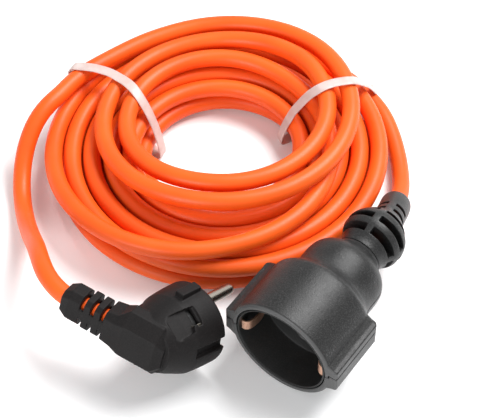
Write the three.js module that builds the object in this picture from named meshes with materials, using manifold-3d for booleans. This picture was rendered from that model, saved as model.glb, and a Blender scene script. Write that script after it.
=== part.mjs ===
// Extension cord: about twelve loops of round cable tied in two places, an angled earthed plug on one
// end and a two-shell coupling socket on the other. Millimetres, +Z up, floor at z = 0.
// Pieces are laid out round the middle of the coil, then the whole is moved so that the origin is
// under the middle of the socket and the ties.
import * as THREE from 'three';
import { mergeVertices } from 'three/addons/utils/BufferGeometryUtils.js';
import Module from 'manifold-3d';

const wasm = await Module();
wasm.setup();

// ---------- driving dimensions ----------
const CABLE_D = 7.8;
const CORE_D = 2.2;
const BUNDLE_R = 1.5; // from the cable's axis to each core's axis
const SEAT_GAP = 0.3; // between pieces that touch
const JACKET_CLEAR = 0.7; // round the jacket inside a bend relief

// coil
const STRAND_GAP = 0.5;
const COIL_FIRST = 0.125; // turn where the coil takes over from the socket's lead
const COIL_LAST = 12.29; // turn where it hands over to the plug's lead
const COIL_TURN_0 = 35; // direction of turn 0, degrees
const COIL_OVAL = 1.03;
const COIL_X = 1.8;
const LOOP_STEPS = 24;
const LOOP_SIDES = 6;
// bottom layer winds in, the next winds out, the last turns lie on top of both
const COIL_KEYS = [
  { turn: 0, radius: 71.8, shift: -4 },
  { turn: 4.4, radius: 34.6, shift: -4 },
  { turn: 4.65, radius: 32.5, shift: -4 },
  { turn: 4.9, radius: 34.6, shift: -4 },
  { turn: 9.37, radius: 72.4, shift: -4 },
  { turn: 9.54, radius: 72.4, shift: -3 },
  { turn: 9.72, radius: 61, shift: 0 },
  { turn: 10, radius: 36.6, shift: 5.5 },
  { turn: 12.29, radius: 59.8, shift: 5.5 },
];
const CLIMBS = [
  { turn: 4.4, turns: 0.5, even: true },
  { turn: 9.36, turns: 0.22 },
];
const TILT_FROM = 10.1; // the top turns rise over the strand that crosses under them
const TILT_RUN = 0.5;
const TILT_DIRECTION = 325;
const TILT_SPREAD = 0.62; // over 0.5 the ring has a flat top

// ties
const TIE_WIDTH = 3.6;
const TIE_THICK = 1.2;
const TIE_CLEAR = 0.5;
const TIES = [
  { name: 'tie_left', x: -23, y: 0.3, azimuth: 133.7, slack: 5 },
  { name: 'tie_right', x: 24.5, y: 1.9, azimuth: 37.6, slack: null },
];

// socket, along its own axis from the mouth
const SOCKET_AT = { x: 26.1, y: -116.5, azimuth: 54.5 };
const SOCKET_R = 23.5;
const BARREL_LENGTH = 31;
const BULB_R = 17.8;
const BULB_AT = 44.5;
const NECK_R = 9.8;
const SHELL_LENGTH = 56.5;
const SHELL_WALL = 2.7;
const EAR_REACH = 26.5;
const EAR_HALF_HEIGHT = 6;
const EAR_LENGTH = 29;
const RECESS_R = 19.75;
const RECESS_DEPTH = 17.5;
const CUP_WALL = 1.1;
const CUP_FLOOR = 7;
const CONTACT_BORE_R = 2.5;
const CONTACT_R = 3.6;
const CONTACT_LENGTH = 11;
const PIN_SPACING = 19;
const EARTH_WIDTH = 6;
const EARTH_THICK = 0.9;
const EARTH_REACH = 18.7;

// bend relief of the socket
const RELIEF_R = 13.6;
const COLLAR_R = 6.4;
const RELIEF_SPINE = 3.2;
// axis of the relief in the socket's own frame: along from the shell's end, left, up
const RELIEF_AXIS = [
  [-2, 0, 0],
  [6, 0, 0],
  [15.5, 0.4, -1.3],
  [25.5, 2, -4.8],
  [34.5, 4.4, -9.2],
  [41.5, 6.8, -13],
].map(([x, y, z]) => [SHELL_LENGTH + x, y, z]);

// plug, along its pins from the front face
const PLUG_AT = { x: -7.9, y: -98.6, azimuth: 45, pitch: -20 };
const PLUG_R = 17.5;
const PLUG_DEPTH = 17;
const HUB_R = 18;
const HUB_BACK = 26;
const CARRIER_R = 13.6;
const CARRIER_DEPTH = 13;
const PIN_R = 2.4;
const PIN_REACH = 19;
const PIN_TAIL = 15.5;
const CRIMP_LENGTH = 3.4;
const LUG_WIDTH = 5.4;
const LUG_HEIGHT = 2;
const LUG_LENGTH = 14.5;
const GROOVE_WIDTH = 5.2;
const GROOVE_DEPTH = 3;
const GROOVE_LENGTH = 10;
const SLOT_TURN = 48; // direction of the earth slots from the pin line, degrees
const STRAP_WIDTH = 5;
const STRAP_THICK = 0.8;
const STRAP_R = 16.2;

// handle of the plug, a chamfered bar square to the pins
const HANDLE_BACK = 24.5; // from the front face to the handle's axis
const HANDLE_LEAN = 16; // degrees back from square
const HANDLE_HALF_HEIGHT = 12;
const HANDLE_HALF_DEPTH = 7.6;
const HANDLE_TAIL = 8;
const HANDLE_REACH = 19.5;
const RIB_HALF_HEIGHT = 7.4;
const RIB_HALF_DEPTH = 5.8;
const RIB_PITCH = 4.7;
const RIB_THICK = 2.9;
const BLOCK_LENGTH = 9;
const JACKET_START = 14; // where the jacket ends inside the handle
// the chamber for the cores narrows towards the back of the handle
const CORE_CHAMBER = [
  { back: -0.2, half: 11.2 },
  { back: 2, half: 9.9 },
  { back: 4, half: 7.2 },
];

// leads, points chosen along the route
const PLUG_LEAD = [
  [-59, -94.5, 29.75],
  [-62.6, -91.1, 30],
  [-65.6, -87.1, 29.9],
  [-68, -82.7, 29.3],
  [-69.8, -78, 28.2],
  [-71.8, -71.6, 25.7],
  [-73.6, -65.4, 22.3],
  [-75.5, -59.4, 18.2],
  [-77.5, -53.4, 14.1],
  [-79.5, -47.2, 10.6],
  [-81.4, -40.8, 7.8],
  [-83.1, -34.1, 5.5],
  [-84.7, -26.6, 4.5],
  [-85.6, -19.2, 5.5],
  [-85.7, -12.2, 8.3],
  [-84.9, -6.2, 11.8],
  [-83.5, -1, 15.2],
  [-80.9, 5, 19],
  [-77.5, 10.4, 21.7],
  [-74, 15, 22.9],
  [-70.2, 19.8, 23.1],
  [-65, 28, 22.6],
  [-59.4, 34.4, 22.3],
];
const SOCKET_LEAD = [
  [80.2, -22.5, 6.8],
  [81, -12, 4.9],
  [80.4, 0, 4.4],
  [78.4, 12, 4.9],
  [75, 23.2, 5.6],
  [69.2, 33.8, 5.6],
  [62.8, 42, 5.6],
  [55.4, 49.4, 5.6],
  [47, 56, 5.6],
  [37.4, 61.2, 5.6],
  [27, 64.6, 5.6],
];

// ---------- small helpers ----------
const DEG = Math.PI / 180;
const COIL_LIFT = TIE_THICK + TIE_CLEAR;
const PITCH = CABLE_D + STRAND_GAP;

const COLOURS = {
  jacket: [0xf2602a, 0.45, 0],
  rubber: [0x3a3839, 0.75, 0],
  moulding: [0x4a4849, 0.6, 0],
  nylon: [0xe6d9d4, 0.4, 0],
  carrier: [0x2c2b2c, 0.6, 0],
  nickel: [0xc8c6c0, 0.25, 1],
  brass: [0xc9a35a, 0.35, 1],
  brown: [0x6b3f22, 0.5, 0],
  blue: [0x2c5fa8, 0.5, 0],
  earth: [0x8fae2a, 0.5, 0],
};

function named(name, geometry, colour) {
  const [color, roughness, metalness] = COLOURS[colour];
  const mesh = new THREE.Mesh(geometry, new THREE.MeshStandardMaterial({ color, roughness, metalness }));
  mesh.name = name;
  return mesh;
}

// shared vertices merged, no empty triangles, faces pointing out
function closed(geometry) {
  geometry.deleteAttribute('normal');
  geometry.deleteAttribute('uv');
  const merged = mergeVertices(geometry, 1e-4);
  const at = merged.attributes.position;
  const index = [];
  const a = new THREE.Vector3();
  const b = new THREE.Vector3();
  const c = new THREE.Vector3();
  let volume = 0;
  for (let i = 0; i < merged.index.count; i += 3) {
    const [p, q, r] = [0, 1, 2].map((k) => merged.index.getX(i + k));
    if (p === q || q === r || r === p) continue;
    index.push(p, q, r);
    a.fromBufferAttribute(at, p);
    b.fromBufferAttribute(at, q);
    c.fromBufferAttribute(at, r);
    volume += a.dot(b.cross(c));
  }
  if (volume < 0) index.reverse();
  merged.setIndex(index);
  return merged;
}

function solid(geometry) {
  const mesh = closed(geometry);
  return new wasm.Manifold(new wasm.Mesh({
    numProp: 3,
    vertProperties: new Float32Array(mesh.attributes.position.array),
    triVerts: new Uint32Array(mesh.index.array),
  }));
}

function finish(body) {
  const mesh = body.getMesh();
  const geometry = new THREE.BufferGeometry();
  geometry.setAttribute('position', new THREE.BufferAttribute(mesh.vertProperties, 3));
  geometry.setIndex(new THREE.BufferAttribute(mesh.triVerts, 1));
  return geometry;
}

const join = (bodies) => bodies.reduce((all, body) => all.add(body));
const cut = (body, tools) => tools.reduce((rest, tool) => rest.subtract(tool), body);

// body of revolution about the x axis from [x, radius] pairs that start and end on the axis
function turned(profile, sides = 32) {
  const points = profile.map(([x, r]) => new THREE.Vector2(r, x));
  return new THREE.LatheGeometry(points, sides).rotateZ(-Math.PI / 2);
}

function rod(x0, x1, radius, sides = 16, y = 0, z = 0) {
  return turned([[x0, 0], [x0, radius], [x1, radius], [x1, 0]], sides).translate(0, y, z);
}

function box(x0, x1, y0, y1, z0, z1) {
  const geometry = new THREE.BoxGeometry(x1 - x0, y1 - y0, z1 - z0);
  return geometry.translate((x0 + x1) / 2, (y0 + y1) / 2, (z0 + z1) / 2);
}

// closed skin over rings of points, each ring with the same count
function skin(rings) {
  const count = rings[0].length;
  const position = rings.flat().flatMap((p) => [p.x, p.y, p.z]);
  const index = [];
  for (let i = 0; i + 1 < rings.length; i++) {
    for (let k = 0; k < count; k++) {
      const a = i * count + k;
      const b = i * count + (k + 1) % count;
      index.push(a, b, a + count, b, b + count, a + count);
    }
  }
  const last = (rings.length - 1) * count;
  for (let k = 1; k + 1 < count; k++) {
    index.push(0, k + 1, k, last, last + k, last + k + 1);
  }
  const geometry = new THREE.BufferGeometry();
  geometry.setAttribute('position', new THREE.Float32BufferAttribute(position, 3));
  geometry.setIndex(index);
  return geometry;
}

function circle(radius, sides) {
  const shape = new THREE.Shape();
  for (let k = 0; k < sides; k++) {
    const angle = (2 * Math.PI * (k + 0.5)) / sides;
    const [x, y] = [radius * Math.cos(angle), radius * Math.sin(angle)];
    if (k) shape.lineTo(x, y);
    else shape.moveTo(x, y);
  }
  shape.closePath();
  return shape;
}

function tube(points, diameter, sides, step) {
  const curve = new THREE.CatmullRomCurve3(points, false, 'centripetal');
  const steps = Math.max(3, Math.round(curve.getLength() / step));
  const options = { steps, extrudePath: curve, bevelEnabled: false };
  return new THREE.ExtrudeGeometry(circle(diameter / 2, sides), options);
}

const vectors = (list) => list.map((p) => new THREE.Vector3(...p));

// ---------- coil ----------
const ease = (u) => {
  const v = THREE.MathUtils.clamp(u, 0, 1);
  return v * v * (3 - 2 * v);
};

function keyed(turn, field, soft) {
  const from = COIL_KEYS.slice(0, -1).findLastIndex((key) => key.turn <= turn);
  const a = COIL_KEYS[Math.max(0, from)];
  const b = COIL_KEYS[Math.max(0, from) + 1];
  const u = THREE.MathUtils.clamp((turn - a.turn) / (b.turn - a.turn), 0, 1);
  return a[field] + (b[field] - a[field]) * (soft ? ease(u) : u);
}

// radius between the keys, averaged over a fifth of a turn
function loopRadius(turn) {
  let sum = 0;
  let weight = 0;
  for (let k = -2; k <= 2; k++) {
    const w = 0.5 + 0.5 * Math.cos((Math.PI * k) / 3);
    sum += w * keyed(turn + k / LOOP_STEPS, 'radius', false);
    weight += w;
  }
  return sum / weight;
}

function coilPoint(turn) {
  const angle = (COIL_TURN_0 + 360 * turn) * DEG;
  const radius = loopRadius(turn);
  let level = 0;
  for (const climb of CLIMBS) {
    const u = (turn - climb.turn) / climb.turns;
    level += climb.even ? THREE.MathUtils.clamp(u, 0, 1) : ease(u);
  }
  const lean = ease(TILT_SPREAD * (1 + Math.cos(angle - TILT_DIRECTION * DEG)));
  level += ease((turn - TILT_FROM) / TILT_RUN) * lean;
  return new THREE.Vector3(
    COIL_X + COIL_OVAL * radius * Math.cos(angle),
    keyed(turn, 'shift', true) + radius * Math.sin(angle),
    COIL_LIFT + CABLE_D / 2 + level * PITCH,
  );
}

function coilRoute() {
  const steps = Math.round((COIL_LAST - COIL_FIRST) * LOOP_STEPS);
  const route = [];
  for (let i = 0; i <= steps; i++) {
    route.push(coilPoint(COIL_FIRST + ((COIL_LAST - COIL_FIRST) * i) / steps));
  }
  return route;
}

// six-sided tube along the route, its sections upright and square to it
function coilTube(route) {
  const rings = route.map((p, i) => {
    const before = route[Math.max(0, i - 1)];
    const after = route[Math.min(route.length - 1, i + 1)];
    const along = new THREE.Vector3().subVectors(after, before).normalize();
    const side = new THREE.Vector3(0, 0, 1).cross(along).normalize();
    const up = new THREE.Vector3().crossVectors(along, side);
    return Array.from({ length: LOOP_SIDES }, (_, k) => {
      const angle = (2 * Math.PI * k) / LOOP_SIDES;
      return p.clone()
        .addScaledVector(side, (CABLE_D / 2) * Math.cos(angle))
        .addScaledVector(up, (CABLE_D / 2) * Math.sin(angle));
    });
  });
  return skin(rings);
}

function leastGap(route) {
  const line = new THREE.Line3();
  const nearest = new THREE.Vector3();
  let least = { gap: Infinity };
  route.forEach((p, i) => {
    for (let k = 0; k + 1 < route.length; k++) {
      if (Math.abs(k - i) < LOOP_STEPS / 2) continue;
      line.set(route[k], route[k + 1]).closestPointToPoint(p, true, nearest);
      const gap = nearest.distanceTo(p) - CABLE_D;
      if (gap < least.gap) least = { gap, i, k };
    }
  });
  return least;
}

// ---------- ties ----------
// where a route crosses an upright plane: distance from the tie's point, and height
function crossings(route, tie, offset) {
  const out = [Math.cos(tie.azimuth * DEG), Math.sin(tie.azimuth * DEG)];
  const side = (p) => -(p.x - tie.x) * out[1] + (p.y - tie.y) * out[0] - offset;
  const found = [];
  for (let i = 0; i + 1 < route.length; i++) {
    const [a, b] = [route[i], route[i + 1]];
    if (side(a) * side(b) > 0) continue;
    const p = a.clone().lerp(b, side(a) / (side(a) - side(b)));
    const distance = (p.x - tie.x) * out[0] + (p.y - tie.y) * out[1];
    if (distance > 0) found.push([distance, p.z]);
  }
  return found;
}

function hull(points) {
  const sorted = [...points].sort((a, b) => a[0] - b[0] || a[1] - b[1]);
  const turn = (o, a, b) => (a[0] - o[0]) * (b[1] - o[1]) - (a[1] - o[1]) * (b[0] - o[0]);
  const half = (list) => {
    const chain = [];
    for (const p of list) {
      while (chain.length > 1 && turn(chain.at(-2), chain.at(-1), p) <= 0.01) chain.pop();
      chain.push(p);
    }
    return chain.slice(0, -1);
  };
  return [...half(sorted), ...half(sorted.reverse())];
}

function around(centres, radius) {
  const ring = [];
  for (const [x, z] of centres) {
    for (let k = 0; k < 20; k++) {
      const angle = (2 * Math.PI * k) / 20;
      ring.push([x + radius * Math.cos(angle), z + radius * Math.sin(angle)]);
    }
  }
  return hull(ring).map(([x, z]) => new THREE.Vector2(x, z));
}

function tieBand(tie, routes) {
  const half = TIE_WIDTH / 2;
  const centres = routes.flatMap((route) => [-half, 0, half].flatMap((d) => crossings(route, tie, d)));
  const floor = COIL_LIFT + CABLE_D / 2;
  if (tie.slack !== null) centres.push([tie.slack, floor]);
  const reach = CABLE_D / 2 + TIE_CLEAR;
  const shape = new THREE.Shape(around(centres, reach + TIE_THICK));
  shape.holes.push(new THREE.Path(around(centres, reach)));
  const band = new THREE.ExtrudeGeometry(shape, { depth: TIE_WIDTH, bevelEnabled: false });
  band.translate(0, 0, -half);
  band.rotateX(Math.PI / 2);
  band.rotateZ(tie.azimuth * DEG);
  band.translate(tie.x, tie.y, 0);
  return named(tie.name, closed(band), 'nylon');
}

// ---------- cores, shared by both ends ----------
// the three cores leave the jacket in a triangle: brown above, blue and earth below
const CORE_PLACES = { brown: 90, blue: 210, earth: 330 };
const corePlace = (core) => {
  const angle = CORE_PLACES[core] * DEG;
  return [BUNDLE_R * Math.cos(angle), BUNDLE_R * Math.sin(angle)];
};

// ---------- socket ----------
const CUP_R = RECESS_R + CUP_WALL;
const CUP_BACK = RECESS_DEPTH + CUP_FLOOR;
const BORE_R = CABLE_D / 2 + JACKET_CLEAR;
const SHELL_OUTLINE = [
  [0, SOCKET_R - 0.8],
  [0.8, SOCKET_R],
  [BARREL_LENGTH - 3, SOCKET_R],
  [BARREL_LENGTH - 0.6, SOCKET_R - 1.4],
  [BARREL_LENGTH + 1, BULB_R + 2.2],
  [BARREL_LENGTH + 3, BULB_R + 0.4],
  [BULB_AT, BULB_R],
  [BULB_AT + 3.5, BULB_R - 0.8],
  [BULB_AT + 6.5, BULB_R - 3],
  [BULB_AT + 9, BULB_R - 6],
  [SHELL_LENGTH - 1, NECK_R + 0.3],
  [SHELL_LENGTH, NECK_R],
];

function shellBody() {
  const outside = turned([[0, 0], ...SHELL_OUTLINE, [SHELL_LENGTH, 0]], 36);
  const ears = box(1, 1 + EAR_LENGTH, -EAR_REACH, EAR_REACH, -EAR_HALF_HEIGHT, EAR_HALF_HEIGHT);
  const seat = CUP_R + SEAT_GAP;
  const ledge = CUP_BACK + 2 * SEAT_GAP + EARTH_THICK;
  const inside = turned([
    [-1, 0],
    [-1, seat],
    [ledge, seat],
    [ledge, seat - SHELL_WALL],
    [BARREL_LENGTH - SHELL_WALL, seat - SHELL_WALL],
    [BARREL_LENGTH, BULB_R - SHELL_WALL],
    [BULB_AT, BULB_R - SHELL_WALL],
    [SHELL_LENGTH - SHELL_WALL - 2, NECK_R - SHELL_WALL],
    [SHELL_LENGTH - SHELL_WALL - 2, BORE_R],
    [SHELL_LENGTH + 1, BORE_R],
    [SHELL_LENGTH + 1, 0],
  ], 36);
  return cut(join([solid(outside), solid(ears)]), [solid(inside)]);
}

// the shells meet on a lap that steps down at the ears
function shells() {
  const body = shellBody();
  const reach = EAR_REACH + 1;
  const far = SHELL_LENGTH + 1;
  const half = SEAT_GAP / 2;
  const lap = SOCKET_R - 0.9;
  const step = 1.6;
  const upper = cut(body, [
    solid(box(-1, far, -reach, reach, -reach, half)),
    solid(box(-1, far, lap, reach, -reach, half + step)),
    solid(box(-1, far, -reach, -lap, -reach, half + step)),
  ]);
  const lower = cut(body, [
    solid(box(-1, far, -lap - SEAT_GAP, lap + SEAT_GAP, -half, reach)),
    solid(box(-1, far, -reach, reach, step - half, reach)),
  ]);
  return [
    named('socket_shell_upper', finish(upper), 'rubber'),
    named('socket_shell_lower', finish(lower), 'rubber'),
  ];
}

function cup() {
  const body = turned([
    [0, RECESS_R],
    [0, CUP_R],
    [CUP_BACK, CUP_R],
    [CUP_BACK, 0],
    [RECESS_DEPTH, 0],
    [RECESS_DEPTH, RECESS_R],
    [0, RECESS_R],
  ], 36);
  const holes = [-1, 1].map((s) => solid(rod(
    RECESS_DEPTH - 1,
    CUP_BACK + 1,
    CONTACT_R + SEAT_GAP,
    16,
    0,
    (s * PIN_SPACING) / 2,
  )));
  const slots = [-1, 1].map((s) => {
    const [y0, y1] = [EARTH_REACH - EARTH_THICK - SEAT_GAP, EARTH_REACH + SEAT_GAP];
    const half = EARTH_WIDTH / 2 + SEAT_GAP;
    return solid(box(RECESS_DEPTH - 1, CUP_BACK + 1, Math.min(s * y0, s * y1), Math.max(s * y0, s * y1),
      -half, half));
  });
  return named('socket_cup', finish(cut(solid(body), [...holes, ...slots])), 'carrier');
}

function socketContact(name, side) {
  const x0 = RECESS_DEPTH + 0.5;
  const x1 = x0 + CONTACT_LENGTH;
  const outside = solid(rod(x0, x1, CONTACT_R, 16));
  const bore = solid(rod(x0 - 1, x1 - 2, CONTACT_BORE_R, 16));
  const body = finish(cut(outside, [bore]));
  return named(name, body.translate(0, 0, (side * PIN_SPACING) / 2), 'brass');
}

// bar behind the cup with a sprung arm through each slot
function socketEarth() {
  const back = CUP_BACK + SEAT_GAP;
  const reach = EARTH_REACH;
  const inner = reach - EARTH_THICK;
  const arm = [[RECESS_DEPTH - 2, 0], [11, -1.6], [7, -2], [4, -1]];
  const shape = new THREE.Shape();
  shape.moveTo(back + EARTH_THICK, -reach);
  shape.lineTo(back + EARTH_THICK, reach);
  arm.forEach(([x, lean]) => shape.lineTo(x, reach + lean));
  [...arm].reverse().forEach(([x, lean]) => shape.lineTo(x, inner + lean));
  shape.lineTo(back, inner);
  shape.lineTo(back, -inner);
  arm.forEach(([x, lean]) => shape.lineTo(x, -inner - lean));
  [...arm].reverse().forEach(([x, lean]) => shape.lineTo(x, -reach - lean));
  shape.closePath();
  const strip = new THREE.ExtrudeGeometry(shape, { depth: EARTH_WIDTH, bevelEnabled: false });
  return named('socket_earth_strap', closed(strip.translate(0, 0, -EARTH_WIDTH / 2)), 'brass');
}

function socketCores() {
  const meshes = [];
  const crimpFrom = RECESS_DEPTH + 0.5 + CONTACT_LENGTH + SEAT_GAP;
  const crimpTo = crimpFrom + 5;
  const end = RELIEF_AXIS[0][0] - SEAT_GAP;
  for (const [core, side, word] of [['brown', 1, 'upper'], ['blue', -1, 'lower']]) {
    const z = (side * PIN_SPACING) / 2;
    meshes.push(named(`socket_crimp_${word}`, closed(rod(crimpFrom, crimpTo, 2.2, 12, 0, z)), 'nickel'));
    const [y1, z1] = corePlace(core);
    const route = [
      [crimpTo + SEAT_GAP, 0, z],
      [crimpTo + SEAT_GAP + 2.5, 0, z],
      [crimpTo + 8, y1 * 0.7, z * 0.72],
      [end - 8, y1, z1 + side * 1.2],
      [end - 2.5, y1, z1],
      [end, y1, z1],
    ];
    meshes.push(named(`socket_core_${core}`, closed(tube(vectors(route), CORE_D, 8, 2.6)), core));
  }
  const [y1, z1] = corePlace('earth');
  const start = CUP_BACK + 2 * SEAT_GAP + EARTH_THICK;
  const route = [
    [start, y1, 0],
    [start + 2.5, y1, 0],
    [start + 12, y1, z1],
    [end - 2.5, y1, z1],
    [end, y1, z1],
  ];
  meshes.push(named('socket_core_earth', closed(tube(vectors(route), CORE_D, 8, 2.6)), 'earth'));
  return meshes;
}

// ---------- bend relief of the socket ----------
const reliefCurve = new THREE.CatmullRomCurve3(vectors(RELIEF_AXIS), false, 'centripetal');
const RELIEF_START = SHELL_LENGTH + SEAT_GAP - RELIEF_AXIS[0][0];
const RELIEF_LENGTH = reliefCurve.getLength();

// frame on the relief's axis, s millimetres from its first point
function reliefFrame(s) {
  const at = THREE.MathUtils.clamp(s / RELIEF_LENGTH, 0, 1);
  const along = reliefCurve.getTangentAt(at);
  const over = s - at * RELIEF_LENGTH;
  const centre = reliefCurve.getPointAt(at).addScaledVector(along, over);
  const side = new THREE.Vector3(0, 0, 1).cross(along).normalize();
  const up = new THREE.Vector3().crossVectors(along, side);
  return { centre, side, up };
}

// closed body along the relief's axis from [s, radius] pairs
function bent(profile, sides = 28) {
  return skin(profile.map(([s, radius]) => {
    const { centre, side, up } = reliefFrame(s);
    return Array.from({ length: sides }, (_, k) => {
      const angle = (2 * Math.PI * k) / sides;
      return centre.clone()
        .addScaledVector(side, radius * Math.cos(angle))
        .addScaledVector(up, radius * Math.sin(angle));
    });
  }));
}

// wedge that opens one window between two ribs, from direction a0 to a1 in degrees
function windowCut(s0, s1, a0, a1, inner, outer) {
  return skin([s0, s1].map((s) => {
    const { centre, side, up } = reliefFrame(s);
    const at = (radius, degrees) => centre.clone()
      .addScaledVector(side, radius * Math.cos(degrees * DEG))
      .addScaledVector(up, radius * Math.sin(degrees * DEG));
    const arc = [0, 1, 2, 3, 4].map((k) => a0 + ((a1 - a0) * k) / 4);
    return [...arc.map((a) => at(outer, a)), ...arc.reverse().map((a) => at(inner, a))];
  }));
}

const RELIEF_PROFILE = [
  [RELIEF_START, NECK_R],
  [RELIEF_START + 2.5, NECK_R + 0.4],
  [RELIEF_START + 5.5, RELIEF_R - 2],
  [RELIEF_START + 9, RELIEF_R - 0.3],
  [RELIEF_START + 12.5, RELIEF_R],
  [RELIEF_START + 15.5, RELIEF_R - 0.9],
  [RELIEF_START + 18.5, RELIEF_R - 3],
  [RELIEF_START + 21.5, RELIEF_R - 5.4],
  [RELIEF_START + 25, COLLAR_R + 1.2],
  [RELIEF_START + 29, COLLAR_R + 0.6],
  [RELIEF_LENGTH - 6, COLLAR_R + 0.3],
  [RELIEF_LENGTH, COLLAR_R],
];
const WINDOW_ROWS = [
  { from: RELIEF_START + 4.6, width: 2.6, count: 4 },
  { from: RELIEF_START + 9.8, width: 2.6, count: 4 },
  { from: RELIEF_START + 15, width: 2.6, count: 4 },
  { from: RELIEF_START + 24, width: 2.4, count: 4 },
  { from: RELIEF_START + 29.5, width: 2.4, count: 4 },
];

function bendRelief() {
  const outside = solid(bent(RELIEF_PROFILE));
  const ends = [-2, 6, 12, 18, 24, 30, 36, RELIEF_LENGTH - 4, RELIEF_LENGTH + 2];
  const bore = solid(bent(ends.map((s) => [s, BORE_R]), 16));
  const windows = WINDOW_ROWS.flatMap((row) => {
    const spine = (RELIEF_SPINE / 2 / (row.from < RELIEF_START + 20 ? RELIEF_R : COLLAR_R)) / DEG;
    const sector = 360 / row.count;
    return Array.from({ length: row.count }, (_, k) => {
      const a0 = k * sector; // a spine along the top, the foot and the two seams
      const reach = [a0 + spine, a0 + sector - spine];
      return solid(windowCut(row.from, row.from + row.width, ...reach, BORE_R - 1, RELIEF_R + 2));
    });
  });
  return named('socket_bend_relief', finish(cut(outside, [bore, ...windows])), 'rubber');
}

function socket() {
  const group = new THREE.Group();
  group.add(
    ...shells(),
    cup(),
    socketContact('socket_contact_upper', 1),
    socketContact('socket_contact_lower', -1),
    socketEarth(),
    ...socketCores(),
    bendRelief(),
  );
  group.rotation.set(0, 0, SOCKET_AT.azimuth * DEG);
  group.position.set(SOCKET_AT.x, SOCKET_AT.y, SOCKET_R);
  group.updateMatrixWorld(true);
  return group;
}

// ---------- plug ----------
const lean = (90 + HANDLE_LEAN) * DEG;
const handleAlong = new THREE.Vector3(Math.cos(lean), Math.sin(lean), 0);
const handleForward = new THREE.Vector3(Math.sin(lean), -Math.cos(lean), 0);
const handleFoot = new THREE.Vector3(-HANDLE_BACK, 0, 0);

// point in the plug's frame: s along the handle, n towards the pins, z up
function onHandle(s, n, z) {
  return handleFoot.clone()
    .addScaledVector(handleAlong, s)
    .addScaledVector(handleForward, n)
    .add(new THREE.Vector3(0, 0, z));
}

// chamfered bar along the handle from stations of half depth, half height and chamfer
function bar(stations) {
  return skin(stations.map(({ s, n, h, c }) => [
    [n, -h + c], [n, h - c], [n - c, h], [-n + c, h], [-n, h - c], [-n, -h + c], [-n + c, -h], [n - c, -h],
  ].map(([a, z]) => onHandle(s, a, z))));
}

function handleRod(s0, s1, radius, sides = 16) {
  return skin([s0, s1].map((s) => Array.from({ length: sides }, (_, k) => {
    const angle = (2 * Math.PI * k) / sides;
    return onHandle(s, radius * Math.cos(angle), radius * Math.sin(angle));
  })));
}

const RIBS_FROM = HANDLE_REACH + 1.8;
const BLOCK_FROM = RIBS_FROM + 2 * RIB_PITCH;
const CORD_EXIT = BLOCK_FROM + BLOCK_LENGTH;

function handle() {
  const h = HANDLE_HALF_HEIGHT;
  const n = HANDLE_HALF_DEPTH;
  const rib = { n: RIB_HALF_DEPTH, h: RIB_HALF_HEIGHT, c: 2 };
  const bars = [
    bar([
      { s: -HANDLE_TAIL, n: n - 2, h: h - 3.5, c: 4 },
      { s: -HANDLE_TAIL + 3.5, n, h, c: 5 },
      { s: HANDLE_REACH - 9, n, h, c: 5 },
      { s: HANDLE_REACH - 5, n: n - 0.6, h: h - 3.6, c: 2.6 },
      { s: HANDLE_REACH, n: n - 1.2, h: h - 4.6, c: 2 },
    ]),
    bar([{ s: BLOCK_FROM, ...rib, c: 2.6 }, { s: CORD_EXIT - 3.5, ...rib, c: 2.6 },
      { s: CORD_EXIT, n: rib.n - 1, h: rib.h - 2.2, c: 2 }]),
  ];
  for (const k of [0, 1]) {
    const s = RIBS_FROM + k * RIB_PITCH;
    bars.push(bar([{ s, ...rib }, { s: s + RIB_THICK, ...rib }]));
  }
  const rails = [-1, 1].map((side) => skin([HANDLE_REACH - 2, BLOCK_FROM + 2].map((s) => [
    [rib.n - 1.3, -2.2], [rib.n - 0.1, -2.2], [rib.n - 0.1, 2.2], [rib.n - 1.3, 2.2],
  ].map(([a, z]) => onHandle(s, side * a, z)))));
  return join([...bars, ...rails].map(solid));
}

function turnedBoxes(x0, x1, r0, r1, width, direction) {
  return [0, 180].map((half) => {
    const piece = box(x0, x1, -width / 2, width / 2, r0, r1);
    return solid(piece.rotateX((direction + half) * DEG));
  });
}

function plugOvermould() {
  const hub = turned([
    [0, 0],
    [0, PLUG_R - 0.9],
    [-0.9, PLUG_R],
    [-PLUG_DEPTH, PLUG_R],
    [-PLUG_DEPTH, HUB_R],
    [-PLUG_DEPTH - 2.5, HUB_R],
    [-HUB_BACK, HUB_R - 6],
    [-HUB_BACK, 0],
  ], 36);
  const lugs = turnedBoxes(-2 - LUG_LENGTH, -2, PLUG_R - 2, PLUG_R + LUG_HEIGHT, LUG_WIDTH, 0);
  const grooves = turnedBoxes(-GROOVE_LENGTH, 1, PLUG_R - GROOVE_DEPTH, PLUG_R + 2, GROOVE_WIDTH, 90);
  const slotWidth = STRAP_WIDTH + 2 * SEAT_GAP;
  const slots = turnedBoxes(-CARRIER_DEPTH - STRAP_THICK - 3 * SEAT_GAP, -4, 10, PLUG_R + 2, slotWidth,
    SLOT_TURN);
  const pocket = rod(-CARRIER_DEPTH - SEAT_GAP, 1, CARRIER_R + SEAT_GAP, 32);
  const well = rod(-PIN_TAIL - CRIMP_LENGTH - 1, 0, CARRIER_R - 1.2, 32);
  const inside = CORE_CHAMBER.map(({ back, half }) => (
    box(-HANDLE_BACK - back, -CARRIER_DEPTH, -4.5, 12, -half, half)
  ));
  const bore = handleRod(3, CORD_EXIT + 1, BORE_R);
  const body = join([solid(hub), handle(), ...lugs]);
  const tools = [...grooves, ...slots, ...[pocket, well, ...inside, bore].map(solid)];
  return named('plug_overmould', finish(cut(body, tools)), 'moulding');
}

function pinCarrier() {
  const disc = solid(rod(-CARRIER_DEPTH, 0, CARRIER_R, 32));
  const holes = [-1, 1].map((s) => solid(rod(
    -CARRIER_DEPTH - 1,
    1,
    PIN_R + SEAT_GAP,
    16,
    0,
    (s * PIN_SPACING) / 2,
  )));
  return named('plug_pin_carrier', finish(cut(disc, holes)), 'carrier');
}

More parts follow.
